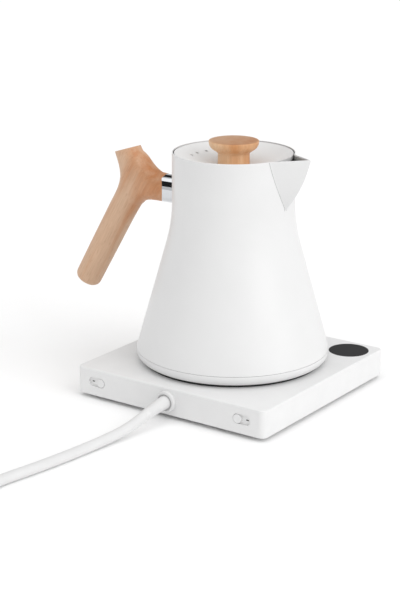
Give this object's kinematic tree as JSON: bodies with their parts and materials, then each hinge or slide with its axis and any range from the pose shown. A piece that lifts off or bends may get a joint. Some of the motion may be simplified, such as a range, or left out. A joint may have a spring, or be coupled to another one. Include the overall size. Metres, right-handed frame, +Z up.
{
  "type": "electric kettle",
  "caption": "Conical pouring kettle with a folded spout, branched wooden handle and lift-off lid, on a square powered base with a round connector, display, dial and mains cord.",
  "frame": {"origin": "on the floor under the middle of the square base", "axes": "+Z up; spout towards -X, handle towards +X; controls along the front edge (-Y), mains cord leaves the rear edge (+Y)"},
  "size_m": [0.236, 0.4895, 0.1952],
  "materials": {
    "body_paint": "fine matte powder coat",
    "base_plastic": "fine matte moulded",
    "handle_wood": "oiled, fine straight grain",
    "ferrule_chrome": "mirror polish",
    "bare_steel": "fine brushed",
    "dark_plastic": "matte moulded",
    "display_glass": "smooth, dark tinted",
    "foot_rubber": "matte",
    "seal_rubber": "matte silicone",
    "screw_steel": "zinc plated",
    "contact_brass": "drawn",
    "spreader_aluminium": "rolled",
    "board": "board lacquer",
    "cord_vinyl": "soft satin vinyl",
    "tie_fabric": "woven strap"
  },
  "bodies": {
    "base": {"base_housing": "base_plastic", "base_bottom_cover": "base_plastic", "rubber_feet": "foot_rubber", "base_screws": "screw_steel", "display_lens": "display_glass", "display_module": "dark_plastic", "front_board": "board", "encoder_body": "dark_plastic", "main_board": "board", "relay": "dark_plastic", "power_supply": "dark_plastic", "filter_capacitor": "dark_plastic", "buzzer": "dark_plastic", "unit_switch_body": "dark_plastic", "hold_switch_body": "dark_plastic", "base_connector": "dark_plastic", "connector_contacts": "contact_brass", "cord_grommet": "cord_vinyl", "cord_clamp": "base_plastic", "clamp_screws": "screw_steel", "power_cord": "cord_vinyl", "cord_coil": "cord_vinyl", "cord_tie": "tie_fabric", "cord_tail": "cord_vinyl", "plug_body": "cord_vinyl", "plug_blades": "contact_brass"},
    "dial_hub": {"encoder_shaft": "screw_steel"},
    "dial": {"dial_knob": "base_plastic"},
    "unit_thumb": {"unit_slider": "base_plastic"},
    "hold_thumb": {"hold_slider": "base_plastic"},
    "coupler": {"coupler_socket": "dark_plastic", "socket_contacts": "contact_brass"},
    "kettle": {"body_shell": "body_paint", "spout": "body_paint", "bottom_band": "body_paint", "kettle_bottom_cover": "dark_plastic", "bottom_cover_screws": "screw_steel", "heater_posts": "bare_steel", "vessel_floor": "bare_steel", "heat_spreader": "spreader_aluminium", "heating_element": "spreader_aluminium", "thermal_cutout": "dark_plastic", "temperature_probe": "bare_steel", "probe_seal": "seal_rubber", "handle_ferrule": "ferrule_chrome", "handle": "handle_wood", "handle_insert": "contact_brass", "handle_bolt": "screw_steel", "bolt_washer": "screw_steel"},
    "lid": {"lid_top": "body_paint", "lid_cup": "bare_steel", "lid_seal": "seal_rubber", "lid_knob": "handle_wood", "lid_screw": "screw_steel", "lid_washer": "screw_steel"}
  },
  "joints": [
    {"name": "dial_turn", "type": "hinge", "parent": "base", "child": "dial_hub", "pos_m": [0.0657, -0.0657, 0.024], "axis": [0, 0, 1], "continuous": true},
    {"name": "dial_press", "type": "slide", "parent": "dial_hub", "child": "dial", "axis": [0, 0, -1], "range_m": [0, 0.0006], "stiffness_N_per_m": 1500, "springref_m": -0.001},
    {"name": "unit_slide", "type": "slide", "parent": "base", "child": "unit_thumb", "axis": [1, 0, 0], "range_m": [0, 0.0075]},
    {"name": "hold_slide", "type": "slide", "parent": "base", "child": "hold_thumb", "axis": [-1, 0, 0], "range_m": [0, 0.0075]},
    {"name": "kettle_lift", "type": "slide", "parent": "base", "child": "coupler", "axis": [0, 0, 1], "range_m": [0, 0.1]},
    {"name": "kettle_swivel", "type": "hinge", "parent": "coupler", "child": "kettle", "pos_m": [0, 0, 0.04], "axis": [0, 0, 1], "continuous": true},
    {"name": "lid_lift", "type": "slide", "parent": "kettle", "child": "lid", "axis": [0, 0, 1], "range_m": [0, 0.06]}
  ]
}
